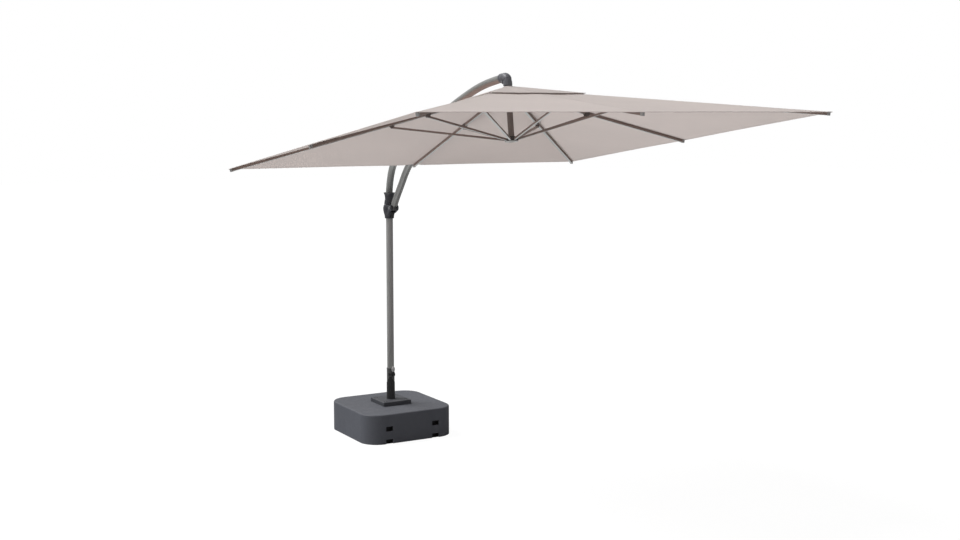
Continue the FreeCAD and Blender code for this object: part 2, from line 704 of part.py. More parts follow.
def runner_ring():
    """Ring under the runner."""
    bottom = 14.0
    plate = disc(bottom, RUNNER_BOTTOM, RUNNER_DISC_R)
    plate = plate.makeFillet(3.0, edges_at(plate, bottom))
    return plate.cut(disc(-5, 30, POLE_R + 1.0))


export(elbow(), "elbow")
export(headed_pin(ELBOW_X, ELBOW_Z, 27.0, 3.98, head=(25.0, 28.0), head_r=7.0), "elbow_pin")
export(placed(ring(16.0, POLE_TOP, POLE_R, POLE_R - POLE_WALL), CANOPY), "centre_pole")
export(placed(crown_hub(), CANOPY), "crown_hub")
export(placed(crown_pins(), CANOPY), "crown_pins")
export(placed(runner(), CANOPY), "runner")
export(placed(runner_ring(), CANOPY), "runner_ring")


# ---------------------------------------------------------------------------
# Ribs, brackets and stays: even numbers are short ribs to the edge middles,
# odd numbers are long ribs to the corners
# ---------------------------------------------------------------------------
def is_short(k):
    return k % 2 == 0


def rib_geometry(k):
    """Slope in radians, length, and distance of the stay bracket along the rib."""
    reach = RIB_TIP if is_short(k) else RIB_TIP * sqrt(2.0)
    slope = atan2(HUB_Z, reach - HUB_R)
    length = (reach - HUB_R) / cos(slope)
    if k == 4:
        length -= 4.0       # the rib towards -X is a little shorter
    bracket_r = MID_BRACKET if is_short(k) else CORNER_BRACKET
    return slope, length, (bracket_r - HUB_R) / cos(slope)


def rib_frame(k, slope):
    """Placement of rib k: local X outward along the rib, hinge at the origin."""
    return CANOPY.multiply(SPOKES[k].multiply(turn_y(HUB_R, HUB_Z, degrees(slope))))


def rib_tube(end):
    """Square-ended tube with a solid hinge eye."""
    w, h, t = RIB_W / 2, RIB_H / 2, RIB_WALL
    tube = box(16.0, end, -w, w, -h, h)
    tube = tube.makeFillet(2.0, long_edges(tube))
    tube = tube.cut(box(30.0, end + 1, -w + t, w - t, -h + t, h - t))
    eye = pin_y(0, 0, w, 9.0).fuse(box(0, 16.0, -w, w, -9.0, 9.0))
    return fuse([tube, eye]).cut(pin_y(0, 0, 30, 3.06))


def rib_end_cap(start):
    """Cap on the rib tip with a spigot inside the tube."""
    w, h = RIB_W / 2, RIB_H / 2
    inset = RIB_WALL + 0.05
    end = start + RIB_END_CAP
    cap = box(start, end, -w - 0.6, w + 0.6, -h - 0.6, h + 0.3)
    cap = cap.makeFillet(3.0, [e for e in cap.Edges if abs(e.BoundBox.XMin - end) < 0.01])
    return cap.fuse(box(start - 18.0, start, -w + inset, w - inset, -h + inset, h - inset))


def stay_bracket(k):
    """Bracket and its rivet: closed sleeve on a short rib, open saddle on a long one."""
    h = RIB_H / 2
    short = is_short(k)
    inner = RIB_W / 2 + (0.3 if short else 0.0)
    outer = inner + 2.0
    half_l = 20.0 if short else 17.0
    top = h + 1.6 if short else 7.0
    bottom_gap, top_gap = (0.2, 0.2) if short else (0.02, 20)
    bracket = box(-half_l, half_l, -outer, outer, -h - 1.6, top)
    bracket = bracket.cut(box(-30, 30, -inner, inner, -h - bottom_gap, h + top_gap))
    lug = [(-half_l + 3, -h - 1.5), (half_l - 3, -h - 1.5),
           (8.0, -PIN_DROP - 6.0), (-8.0, -PIN_DROP - 6.0)]
    for y0, y1 in both_sides(inner - 0.9, outer):
        bracket = bracket.fuse(plate_xz(lug, y0, y1))
    bracket = bracket.removeSplitter().cut(pin_y(0, -PIN_DROP, 30, 3.0))
    rivet = headed_pin(0, -PIN_DROP, outer, 2.98, head=(outer, outer + 2.4), head_r=5.5)
    return [bracket, rivet]


def stay(k, slope, bracket_at):
    """Square tube from the runner up to the bracket pin."""
    run = HUB_R + bracket_at * cos(slope) - PIN_DROP * sin(slope) - RUNNER_R
    rise = HUB_Z - bracket_at * sin(slope) - PIN_DROP * cos(slope) - RUNNER_Z
    length = hypot(run, rise)
    half = STAY_W / 2
    bore = half - STAY_WALL
    bar = box(0, length, -half, half, -half, half)
    bar = bar.makeFillet(1.6, long_edges(bar))
    bar = bar.fuse(pin_y(0, 0, half, half)).fuse(pin_y(length, 0, half, half)).removeSplitter()
    bar = bar.cut(box(18, length - 18, -bore, bore, -bore, bore))
    bar = bar.cut(pin_y(length, 0, 30, 3.06))
    bar = bar.cut(pin_y(0, 0, 30, 2.6))
    pivot = turn_y(RUNNER_R, RUNNER_Z, -degrees(atan2(rise, run)))
    return placed(bar, CANOPY.multiply(SPOKES[k].multiply(pivot)))


for k in range(8):
    slope, length, bracket_at = rib_geometry(k)
    frame = rib_frame(k, slope)
    tube_end = length - RIB_END_CAP
    rib_parts = [placed(rib_tube(tube_end), frame), placed(rib_end_cap(tube_end), frame)]
    bracket_frame = frame.multiply(Placement(V(bracket_at, 0, 0), Rotation()))
    bracket_parts = [placed(part, bracket_frame) for part in stay_bracket(k)]
    if is_short(k):
        export(Part.makeCompound(bracket_parts), "rib_sleeve_%d" % (k + 1))
    else:
        rib_parts += bracket_parts
    export(Part.makeCompound(rib_parts), "rib_%d" % (k + 1))
    export(stay(k, slope, bracket_at), "stay_%d" % (k + 1))


# ---------------------------------------------------------------------------
# Canopy fabric and vent cap
# ---------------------------------------------------------------------------
def fabric_z(half):
    """Underside of the fabric at a given half side."""
    return FABRIC_H * (1.0 - half / RIB_TIP) + FABRIC_LIFT


def canopy_fabric():
    """Four flat sloping sheets round a square opening."""
    a, b = OPENING_HALF, FABRIC_HALF
    outline = [V(a, -a, fabric_z(a)), V(b, -b, fabric_z(b)),
               V(b, b, fabric_z(b)), V(a, a, fabric_z(a))]
    sheet = polygon_face(outline).extrude(V(0, 0, SHEET_T))
    sheets = [placed(sheet, CANOPY.multiply(turn_z(90.0 * i))) for i in range(4)]
    return sheets[0].fuse(sheets[1:]).removeSplitter()


def pyramid(half0, z0, half1, z1):
    """Frustum between two horizontal squares."""
    def square(half, z):
        return [V(half, -half, z), V(half, half, z), V(-half, half, z), V(-half, -half, z)]

    low, high = square(half0, z0), square(half1, z1)
    faces = [polygon_face(low[::-1]), polygon_face(high)]
    for i in range(4):
        j = (i + 1) % 4
        faces.append(polygon_face([low[i], low[j], high[j], high[i]]))
    return Part.Solid(Part.Shell(faces))


def vent_cap():
    """Shallow four-sided pyramid above the opening, with a round hole at the top."""
    vent = pyramid(VENT_HALF, VENT_BOTTOM, VENT_HOLE, VENT_TOP)
    vent = vent.cut(pyramid(VENT_HALF, VENT_BOTTOM - SHEET_T, VENT_HOLE, VENT_TOP - SHEET_T))
    return largest(vent.cut(disc(250, 450, VENT_HOLE)))


export(canopy_fabric(), "canopy_fabric")
export(placed(vent_cap(), CANOPY), "vent_cap")
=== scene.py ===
# Cantilever parasol, in metres with +Z up. The mast stands on the base at the origin; the
# boom carries a square canopy over +X, whose pole axis leans back towards the mast.
# The canopy has eight ribs: rib 1 points away from the mast, rib 5 towards it. Odd ribs end
# in the middle of a side, even ribs at a corner.
import bpy
import bmesh
import json
import numpy as np
from collections import namedtuple
from math import sin, cos, exp, pi, radians, sqrt
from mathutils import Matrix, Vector, noise


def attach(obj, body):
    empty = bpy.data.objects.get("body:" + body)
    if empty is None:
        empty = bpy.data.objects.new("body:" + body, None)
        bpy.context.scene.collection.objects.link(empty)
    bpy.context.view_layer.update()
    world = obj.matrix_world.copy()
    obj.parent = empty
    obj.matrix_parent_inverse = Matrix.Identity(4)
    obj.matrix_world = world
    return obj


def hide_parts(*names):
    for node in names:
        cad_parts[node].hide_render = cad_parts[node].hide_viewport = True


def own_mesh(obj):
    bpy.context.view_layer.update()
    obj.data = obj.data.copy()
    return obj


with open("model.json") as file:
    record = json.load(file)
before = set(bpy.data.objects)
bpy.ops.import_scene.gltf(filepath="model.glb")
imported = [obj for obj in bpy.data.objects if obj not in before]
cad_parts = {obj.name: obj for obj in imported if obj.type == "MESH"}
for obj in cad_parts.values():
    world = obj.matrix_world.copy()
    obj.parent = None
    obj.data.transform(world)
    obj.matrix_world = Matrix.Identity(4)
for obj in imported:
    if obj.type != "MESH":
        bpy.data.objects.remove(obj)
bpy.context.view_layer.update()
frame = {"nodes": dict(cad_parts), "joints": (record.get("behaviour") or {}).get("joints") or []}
NODES = frame["nodes"]
JOINTS = {joint["name"]: joint for joint in frame["joints"]}

# ---------------------------------------------------------------- canopy dimensions
# Half widths are square radii: the larger of |x| and |y| in the canopy frame.
RIB_TIP = 1.5             # half width at the rib tips
COVER_HALF = 1.511        # half width of the cover at its hem
OPENING_HALF = 0.230      # half width of the opening at the top of the cover
VENT_HALF = 0.380         # half width of the vent cap
VENT_INNER = 0.0245       # half width of the hole in the vent cap
CROWN_HALF = 0.0720       # half width of the fixed middle of the vent cap
CLOTH_THICK = 0.0012
HEM_LIP = 0.0015          # outermost strip of either hem, thinner than the fold
COVER_FOLD = 0.0275       # width of the doubled hem of the cover
VENT_FOLD = 0.019         # width of the doubled hem of the vent cap
RIB_STEP = 45.0           # degrees between ribs
HALF_GORE = radians(RIB_STEP / 2)
MAST_ANGLE = pi           # canopy angle of the rib nearest the mast

# Canopy frame: origin on the pole axis, level with the hem over the rib tips
CANOPY_TILT = radians(7.9073)
CANOPY_X = np.array([cos(CANOPY_TILT), 0, sin(CANOPY_TILT)])
CANOPY_Y = np.array([0, 1.0, 0])
CANOPY_Z = np.array([-sin(CANOPY_TILT), 0, cos(CANOPY_TILT)])
CANOPY_ORIGIN = np.array([1.919, 0.0, 2.4217])


def canopy_point(x, y, z):
    return CANOPY_ORIGIN + x * CANOPY_X + y * CANOPY_Y + z * CANOPY_Z


def rib_angle(k):
    return radians(RIB_STEP * k)


# ---------------------------------------------------------------- colours

def linear(channel):
    channel = channel / 255.0
    return channel / 12.92 if channel <= 0.04045 else ((channel + 0.055) / 1.055) ** 2.4


def srgb(red, green, blue, dim=1.0):
    """Linear colour from 0..255 sRGB channels, dimmed by a factor."""
    return (linear(red) * dim, linear(green) * dim, linear(blue) * dim, 1.0)


def grey(level):
    return (level, level, level, 1.0)


def shade(colour, factor):
    return tuple(min(1.0, channel * factor) for channel in colour[:3]) + (1.0,)


WHITE = grey(1.0)
DUST = (0.42, 0.41, 0.39, 1)
# tube colours: the brown tint is painted reflection of the cloth; the light grey for downward
# faces is painted reflection of the white floor
TUBE_WITH_CLOTH_TINT = srgb(134, 117, 110)
TUBE_FLOOR_REFLECTION = srgb(178, 180, 179)
RIB_CAP = srgb(158, 157, 156)
RIB_SADDLE = srgb(92, 84, 80)

# ---------------------------------------------------------------- shader graph helpers

class Scalar:
    """A scalar shader output; arithmetic on it adds math nodes."""

    def __init__(self, graph, socket):
        self.graph = graph
        self.socket = socket

    def __add__(self, other):
        return self.graph.math("ADD", self, other)

    def __sub__(self, other):
        return self.graph.math("SUBTRACT", self, other)

    def __rsub__(self, other):
        return self.graph.math("SUBTRACT", other, self)

    def __mul__(self, other):
        return self.graph.math("MULTIPLY", self, other)

    def __lt__(self, other):
        return self.graph.math("LESS_THAN", self, other)

    def __gt__(self, other):
        return self.graph.math("GREATER_THAN", self, other)

    def __abs__(self):
        return self.graph.math("ABSOLUTE", self)


class Graph:
    """Node tree of a material or world, emptied down to its output node."""

    def __init__(self, owner, output="ShaderNodeOutputMaterial"):
        owner.use_nodes = True
        self.tree = owner.node_tree
        self.tree.nodes.clear()
        self.output = self.node(output)

    def plug(self, socket, value):
        """Feed an input with a constant, an output socket, or a node's first output."""
        if isinstance(value, Scalar):
            value = value.socket
        if isinstance(value, bpy.types.Node):
            value = value.outputs[0]
        if isinstance(value, bpy.types.NodeSocket):
            self.tree.links.new(value, socket)
        else:
            socket.default_value = value

    def node(self, kind, inputs=None, **settings):
        """New node; inputs maps socket names or numbers to values, None leaves one alone."""
        node = self.tree.nodes.new(kind)
        for name, value in settings.items():
            setattr(node, name, value)
        for socket, value in (inputs or {}).items():
            if value is not None:
                self.plug(node.inputs[socket], value)
        return node

    def surface(self, shader):
        self.plug(self.output.inputs[0], shader)

    def coordinates(self, kind):
        return self.node("ShaderNodeTexCoord").outputs[kind]

    def components(self, vector):
        split = self.node("ShaderNodeSeparateXYZ", {0: vector})
        return [Scalar(self, socket) for socket in split.outputs]

    def math(self, operation, *values, clamp=False):
        node = self.node("ShaderNodeMath", dict(enumerate(values)),
                         operation=operation, use_clamp=clamp)
        return Scalar(self, node.outputs[0])

    def dot(self, first, second):
        node = self.node("ShaderNodeVectorMath", {0: first, 1: second}, operation="DOT_PRODUCT")
        return Scalar(self, node.outputs["Value"])

    def wave(self, value, pitch):
        return self.math("SINE", value * (2 * pi / pitch))

    def mix(self, factor, first, second, blend="MIX"):
        node = self.node("ShaderNodeMix", {0: factor, 6: first, 7: second},
                         data_type="RGBA", blend_type=blend)
        return node.outputs[2]

    def noise(self, scale, detail=4.0, rough=0.55, vector=None, stretch=None):
        if vector is None:
            vector = self.coordinates("Object")
        if stretch is not None:
            vector = self.node("ShaderNodeMapping", {"Scale": stretch, "Vector": vector})
        node = self.node("ShaderNodeTexNoise", {
            "Scale": scale, "Detail": detail, "Roughness": rough, "Vector": vector})
        return Scalar(self, node.outputs["Fac"])

    def remap(self, value, span=(0.3, 0.7), to=(0.0, 1.0)):
        """Clamped linear map of span onto to."""
        node = self.node("ShaderNodeMapRange", dict(enumerate((value, *span, *to))), clamp=True)
        return Scalar(self, node.outputs[0])

    def edges(self, radius, gain=5.0):
        """0..1 mask on convex and concave edges."""
        bevel = self.node("ShaderNodeBevel", {"Radius": radius}, samples=4)
        geometry = self.node("ShaderNodeNewGeometry")
        bend = 1.0 - self.dot(bevel, geometry.outputs["Normal"])
        return self.math("MULTIPLY", bend, gain, clamp=True)

    def bump(self, height, strength, distance, normal=None):
        return self.node("ShaderNodeBump", {
            "Strength": strength, "Distance": distance, "Height": height, "Normal": normal})

    def principled(self, colour, roughness, normal, metallic=0.0, specular=0.5, sheen=0.0):
        return self.node("ShaderNodeBsdfPrincipled", {
            "Base Color": colour, "Roughness": roughness, "Metallic": metallic,
            "Specular IOR Level": specular, "Sheen Weight": sheen, "Normal": normal})

    def drift(self, pattern, colour, low, high):
        """Colour that wanders between two shades of itself along a noise pattern."""
        return self.mix(self.remap(pattern), shade(colour, low), shade(colour, high))

    def worn(self, colour, radius, patches, wear, bare):
        """Edges rubbed through to a bare colour, in patches."""
        return self.mix(self.edges(radius) * patches * wear, colour, bare)

    def dusted(self, colour, amount):
        """A trace of patchy dust on faces that look up."""
        geometry = self.node("ShaderNodeNewGeometry")
        upward = self.components(geometry.outputs["Normal"])[2]
        specks = self.noise(scale=60.0, detail=6.0, rough=0.7)
        amount = self.remap(upward, span=(0.5, 1.0)) * amount
        return self.mix(amount * self.remap(specks, span=(0.35, 0.7)), colour, DUST)


materials = {}


def new_material(key):
    """Empty graph of the material mat_<key>, filed under its key."""
    materials[key] = bpy.data.materials.new("mat_" + key)
    return Graph(materials[key])


# ---------------------------------------------------------------- coated and moulded parts

def grained_surface(mat, colour, mid, fine, grain_strength, roughness, metallic, specular=0.5):
    """Fine grain under shallow waves, with roughness drifting over a range."""
    roughness = mat.remap(mat.noise(scale=14.0, detail=5.0), span=(0.25, 0.75), to=roughness)
    grain = mat.bump(fine, strength=grain_strength, distance=0.0004)
    normal = mat.bump(mid, strength=0.05, distance=0.0008, normal=grain)
    mat.surface(mat.principled(colour, roughness, normal, metallic, specular))


def coat(key, base, roughness, grain, grain_strength, mottle, wear, bare, dust,
         metallic, specular):
    """Powder coat or moulded plastic: grain, colour drift, rubbed edges and dust on top."""
    mat = new_material(key)
    slow = mat.noise(scale=2.2, detail=5.0)
    mid = mat.noise(scale=28.0)
    fine = mat.noise(scale=grain, detail=2.0, rough=0.6)
    colour = mat.drift(slow, base, low=1.0 - mottle * 2.2, high=1.0 + mottle * 2.2)
    blotches = mat.remap(mid, span=(0.45, 0.75)) * (mottle * 2.0)
    colour = mat.mix(blotches, colour, shade(base, 0.8))
    patches = mat.remap(mid, span=(0.35, 0.62))
    colour = mat.worn(colour, radius=0.0015, patches=patches, wear=wear, bare=bare)
    if dust > 0:
        colour = mat.dusted(colour, dust)
    grained_surface(mat, colour, mid, fine, grain_strength,
                    (roughness - 0.07, roughness + 0.09), metallic, specular)


# key, colour, roughness, grain scale, grain strength, mottle, edge wear, worn colour, dust,
# metallic, specular
COATS = [
    ("base_plastic", srgb(98, 101, 110, 0.66), 0.62, 1400, 0.30, 0.03, 0.22,
     (0.30, 0.30, 0.32, 1), 0.10, 0.0, 0.5),
    ("plate_coat", srgb(84, 86, 93, 0.60), 0.5, 1200, 0.25, 0.03, 0.3,
     (0.25, 0.25, 0.27, 1), 0.08, 0.0, 0.5),
    ("black_plastic", srgb(52, 52, 53, 0.8), 0.42, 1300, 0.25, 0.05, 0.3,
     grey(0.16), 0.03, 0.0, 0.5),
    ("mast_coat", srgb(163, 163, 162), 0.45, 1500, 0.22, 0.03, 0.3, grey(0.5), 0.0, 0.15, 0.5),
    ("pole_coat", srgb(118, 106, 101), 0.45, 1500, 0.2, 0.03, 0.3, grey(0.5), 0.0, 0.0, 0.5),
    ("housing_plastic", srgb(60, 61, 66), 0.36, 1300, 0.2, 0.03, 0.35,
     (0.22, 0.22, 0.24, 1), 0.05, 0.0, 0.5),
    ("hub_plastic", srgb(64, 60, 58), 0.5, 1300, 0.25, 0.04, 0.3, grey(0.2), 0.0, 0.0, 0.5),
    ("dark_steel", srgb(60, 60, 62), 0.45, 900, 0.25, 0.05, 0.45, grey(0.4), 0.04, 0.0, 0.5),
    ("socket_coat", srgb(96, 96, 96), 0.42, 1400, 0.2, 0.03, 0.4, grey(0.4), 0.0, 0.0, 0.5),
    ("rubber", srgb(38, 38, 38), 0.85, 700, 0.4, 0.06, 0.1, grey(0.1), 0.1, 0.0, 0.3),
    ("bush", srgb(205, 203, 196), 0.4, 1200, 0.1, 0.02, 0.1,
     (0.8, 0.8, 0.78, 1), 0.0, 0.0, 0.5),
    ("lever_pad", srgb(206, 206, 206), 0.35, 1200, 0.12, 0.02, 0.25, grey(0.4), 0.0, 0.0, 0.5),
    ("runner_ring", srgb(176, 176, 174), 0.4, 1200, 0.12, 0.03, 0.25,
     grey(0.4), 0.0, 0.0, 0.5),
    ("rib_sleeve", RIB_SADDLE, 0.5, 1300, 0.25, 0.04, 0.3, grey(0.4), 0.0, 0.0, 0.5),
    # near-black tray material behind the base slots: painted shade
    ("slot_shade_liner", srgb(30, 30, 31), 0.8, 900, 0.3, 0.04, 0.1, grey(0.1), 0.0, 0.0, 0.5),
]


def arm_coat(key, base, cloth_reflection, dark, turn_height):
    """Coated tube: painted reflection of the cloth on downward faces above turn_height, painted
    shade on +X-facing faces below it.
    """
    mat = new_material(key)
    slow = mat.noise(scale=2.2, detail=5.0)
    mid = mat.noise(scale=28.0)
    fine = mat.noise(scale=1500.0, detail=2.0, rough=0.6)
    coordinates = mat.node("ShaderNodeTexCoord")
    height = mat.components(coordinates.outputs["Object"])[2]
    facing_x, _, facing_z = mat.components(coordinates.outputs["Normal"])
    above = mat.remap(height, span=(turn_height, turn_height + 0.20))
    below = mat.remap(height, span=(turn_height, turn_height - 0.10))
    painted_reflection = mat.remap(facing_z, span=(-0.05, -0.55)) * above
    side = mat.remap(facing_x, span=(0.35, 0.75)) * below
    colour = mat.drift(slow, base, low=0.94, high=1.05)
    # painted reflection of the cloth on downward faces above turn_height
    colour = mat.mix(painted_reflection * 0.75, colour, cloth_reflection)
    # painted shade on faces that look towards +X below turn_height
    colour = mat.mix(side * 0.35, colour, dark)
    patches = mat.remap(mid, span=(0.35, 0.62))
    colour = mat.worn(colour, radius=0.0012, patches=patches, wear=0.3, bare=grey(0.5))
    colour = mat.dusted(colour, amount=0.05)
    grained_surface(mat, colour, mid, fine, grain_strength=0.22,
                    roughness=(0.36, 0.50), metallic=0.15)


def elbow_plastic(key, base):
    """Moulded elbow: fine grain and three grooves set at angles about the tilt joint, darkened
    with painted shade.
    """
    groove_angles = (2.0, 24.0, 46.0)    # degrees from +Z towards +X
    mat = new_material(key)
    x, _, z = mat.components(mat.coordinates("Object"))
    joint = JOINTS["canopy_tilt"]["pos_m"]
    angle = mat.math("ARCTAN2", x - float(joint[0]), z - float(joint[2]))
    grooves = None
    for degrees in groove_angles:
        groove = mat.remap(abs(angle - radians(degrees)), span=(0.012, 0.035), to=(1.0, 0.0))
        grooves = groove if grooves is None else mat.math("MAXIMUM", grooves, groove)
    slow = mat.noise(scale=9.0, detail=5.0)
    fine = mat.noise(scale=1300.0, detail=2.0, rough=0.6)
    colour = mat.drift(slow, base, low=0.93, high=1.06)
    # painted shade: the grooves darkened in colour
    colour = mat.mix(grooves * 0.55, colour, shade(base, 0.35))
    colour = mat.mix(mat.edges(radius=0.0015) * 0.25, colour, (0.3, 0.3, 0.32, 1))
    grain = mat.bump(fine, strength=0.2, distance=0.0004)
    normal = mat.bump(1.0 - grooves, strength=0.8, distance=0.0012, normal=grain)
    mat.surface(mat.principled(colour, mat.remap(slow, to=(0.36, 0.46)), normal))


def brushed_zinc(key):
    mat = new_material(key)
    streaks = mat.noise(scale=600.0, detail=3.0, rough=0.6, stretch=(1, 0.04, 1))
    mid = mat.noise(scale=50.0)
    colour = mat.drift(mid, (0.50, 0.50, 0.51, 1), low=0.85, high=1.0)
    normal = mat.bump(streaks, strength=0.2, distance=0.0003)
    roughness = mat.remap(streaks, to=(0.25, 0.47))
    mat.surface(mat.principled(colour, roughness, normal, metallic=1.0))


def pitted_concrete(key):
    mat = new_material(key)
    broad = mat.noise(scale=9.0, detail=8.0, rough=0.65)
    fine = mat.noise(scale=260.0, detail=6.0, rough=0.7)
    colour = mat.mix(mat.remap(broad), (0.30, 0.29, 0.275, 1), (0.46, 0.45, 0.43, 1))
    cells = mat.node("ShaderNodeTexVoronoi",
                     {"Scale": 120.0, "Vector": mat.coordinates("Object")})
    pits = mat.remap(cells.outputs["Distance"], span=(0.0, 0.16), to=(1.0, 0.0))
    # painted shade: the pits darkened in colour
    colour = mat.mix(pits * 0.6, colour, (0.14, 0.135, 0.13, 1))
    normal = mat.bump(fine - pits, strength=0.5, distance=0.001)
    mat.surface(mat.principled(colour, roughness=0.93, normal=normal, specular=0.25))


# ---------------------------------------------------------------- ribs and stays

def canopy_axes(mat, *axes):
    """Distances along the given canopy axes, measured from the canopy origin."""
    offset = mat.node("ShaderNodeVectorMath",
                      {0: mat.coordinates("Object"), 1: tuple(CANOPY_ORIGIN)},
                      operation="SUBTRACT")
    return [mat.dot(offset, tuple(axis)) for axis in axes]


def tube_colour(mat, patches):
    """Grey tube tinted brown as painted reflection of the cloth, lighter where it faces down as
    painted reflection of the white floor, with rubbed edges.
    """
    slow = mat.noise(scale=3.0, detail=5.0)
    # painted light: sides tinted brown by a painted cloth reflection, downward faces lightened by
    # a painted floor reflection
    sides = mat.drift(slow, TUBE_WITH_CLOTH_TINT, low=0.9, high=1.08)
    painted_reflection = mat.drift(slow, TUBE_FLOOR_REFLECTION, low=0.93, high=1.05)
    facing_down = mat.dot(mat.coordinates("Normal"), tuple(-CANOPY_Z))
    colour = mat.mix(mat.remap(facing_down, span=(0.45, 0.80)), sides, painted_reflection)
    patches = mat.remap(patches, span=(0.35, 0.6))
    return mat.worn(colour, radius=0.001, patches=patches, wear=0.35, bare=grey(0.6))


def tube_surface(mat, colour, patches, roughness):
    fine = mat.noise(scale=1100.0, detail=2.0)
    normal = mat.bump(fine, strength=0.2, distance=0.0003)
    mat.surface(mat.principled(colour, mat.remap(patches, to=roughness), normal))


def stay_coat(key):
    mat = new_material(key)
    patches = mat.noise(scale=160.0, detail=3.0)
    tube_surface(mat, tube_colour(mat, patches), patches, roughness=(0.40, 0.55))


def rib_coat(k):
    """Rib tube with a lighter end cap; corner ribs also have a dark saddle."""
    saddle_at, saddle_half = 0.860, 0.0172
    cap_length = 0.0253 if k == 4 else 0.0213
    to_corner = k % 2 == 1
    tip = RIB_TIP * sqrt(2) if to_corner else RIB_TIP
    mat = new_material("rib_%d" % (k + 1))
    x, y = canopy_axes(mat, CANOPY_X, CANOPY_Y)
    reach = x * cos(rib_angle(k)) + y * sin(rib_angle(k))
    patches = mat.noise(scale=160.0, detail=3.0)
    colour = tube_colour(mat, patches)
    colour = mat.mix(reach > tip - cap_length, colour, RIB_CAP)
    if to_corner:
        colour = mat.mix(abs(reach - saddle_at) < saddle_half, colour, RIB_SADDLE)
    tube_surface(mat, colour, patches, roughness=(0.42, 0.58))


# ---------------------------------------------------------------- cloth

def stitch_rows(mat, distance, centre, offset, run):
    """Two dashed rows, offset to either side of centre, along the coordinate run."""
    thread_half, stitch_pitch, gap_level = 0.00055, 0.0042, -0.45
    rows = abs(abs(distance - centre) - offset) < thread_half
    return rows * (mat.wave(run, stitch_pitch) > gap_level)


def cloth(key, base, translucency):
    """Woven polyester: weave, slubs, shade drift, stitched seams and hem, translucent."""
    mat = new_material(key)
    x, y, z = canopy_axes(mat, CANOPY_X, CANOPY_Y, CANOPY_Z)
    position = mat.node("ShaderNodeCombineXYZ", {0: x, 1: y, 2: z})

    # threads and shade
    yarn_pitch = 0.0016
    weave = (mat.wave(x, yarn_pitch) * mat.wave(y, yarn_pitch) + 1.0) * 0.5
    slubs = [mat.noise(scale=1.0, detail=3.0, rough=0.6, vector=position, stretch=stretch)
             for stretch in ((14.0, 900.0, 1.0), (900.0, 14.0, 1.0))]
    slow = mat.noise(scale=0.9, detail=5.0, rough=0.6, vector=position)
    blots = mat.noise(scale=5.0, detail=6.0, rough=0.65, vector=position)
    colour = mat.drift(slow, base, low=0.955, high=1.03)
    stain = mat.remap(blots, span=(0.45, 0.8), to=(0.0, 0.06))
    colour = mat.mix(stain, colour, shade(base, 0.82))
    streaks = [mat.remap(slub, span=(0.35, 0.7), to=(-0.035, 0.035)) for slub in slubs]
    thread = weave * 0.10 + (streaks[0] + streaks[1])
    thread_tint = mat.mix(mat.remap(thread, span=(-0.1, 0.2)), grey(0.93), WHITE)
    colour = mat.mix(1.0, colour, thread_tint, blend="MULTIPLY")
    thread_height = weave + (slubs[0] * 0.8 + slubs[1] * 0.8)

    # doubled seams over the eight ribs and a doubled hem, each with two rows of stitches
    abs_x, abs_y = abs(x), abs(y)
    half_width = mat.math("MAXIMUM", abs_x, abs_y)
    from_diagonal = abs(abs_x - abs_y) * 0.70711
    from_seam = mat.math("MINIMUM", mat.math("MINIMUM", abs_x, abs_y), from_diagonal)
    radius = mat.math("SQRT", x * x + y * y)
    from_hem = COVER_HALF - half_width
    doubled = mat.math("MAXIMUM", from_seam < 0.0085, from_hem < 0.0290)
    seam_stitches = stitch_rows(mat, from_seam, centre=0.0045, offset=0.0022, run=radius)
    hem_stitches = stitch_rows(mat, from_hem, centre=0.0150, offset=0.0105,
                               run=mat.math("MINIMUM", abs_x, abs_y))
    stitches = mat.math("MAXIMUM", seam_stitches * (from_hem > 0.03), hem_stitches)
    colour = mat.mix(doubled * 0.22, colour, shade(base, 0.80))
    colour = mat.mix(stitches * 0.45, colour, shade(base, 0.62))
    near_seam = mat.remap(from_seam, span=(0.006, 0.030), to=(1.0, 0.0))
    pucker = near_seam * mat.wave(radius, pitch=0.021) * 0.5
    sewing_height = (doubled * 0.6 - stitches * 0.5) + pucker * 0.5

    normal = mat.bump(thread_height, strength=0.22, distance=0.0004)
    normal = mat.bump(blots, strength=0.25, distance=0.004, normal=normal)
    normal = mat.bump(sewing_height, strength=0.5, distance=0.0009, normal=normal)
    reflecting = mat.principled(colour, mat.remap(blots, to=(0.78, 0.9)), normal,
                                specular=0.25, sheen=0.15)
    passing = mat.node("ShaderNodeBsdfTranslucent", {0: colour, "Normal": normal})
    mat.surface(mat.node("ShaderNodeMixShader", {0: translucency, 1: reflecting, 2: passing}))


# ---------------------------------------------------------------- materials onto CAD pieces
for row in COATS:
    coat(*row)
# boom and strut: a painted cloth reflection colour for downward faces and a painted shade colour
# for the +X side
arm_coat("boom_coat", base=srgb(146, 147, 145), cloth_reflection=srgb(172, 146, 136),
         dark=srgb(95, 95, 95), turn_height=2.45)
arm_coat("strut_coat", base=srgb(130, 130, 128), cloth_reflection=srgb(140, 120, 112),
         dark=srgb(84, 84, 84), turn_height=2.60)
elbow_plastic("elbow_plastic", srgb(108, 109, 115))
brushed_zinc("zinc")
pitted_concrete("concrete")
cloth("canopy_cloth", srgb(221, 212, 208), translucency=0.30)
cloth("hem_cloth", srgb(207, 197, 193), translucency=0.12)
stay_coat("stay_coat")

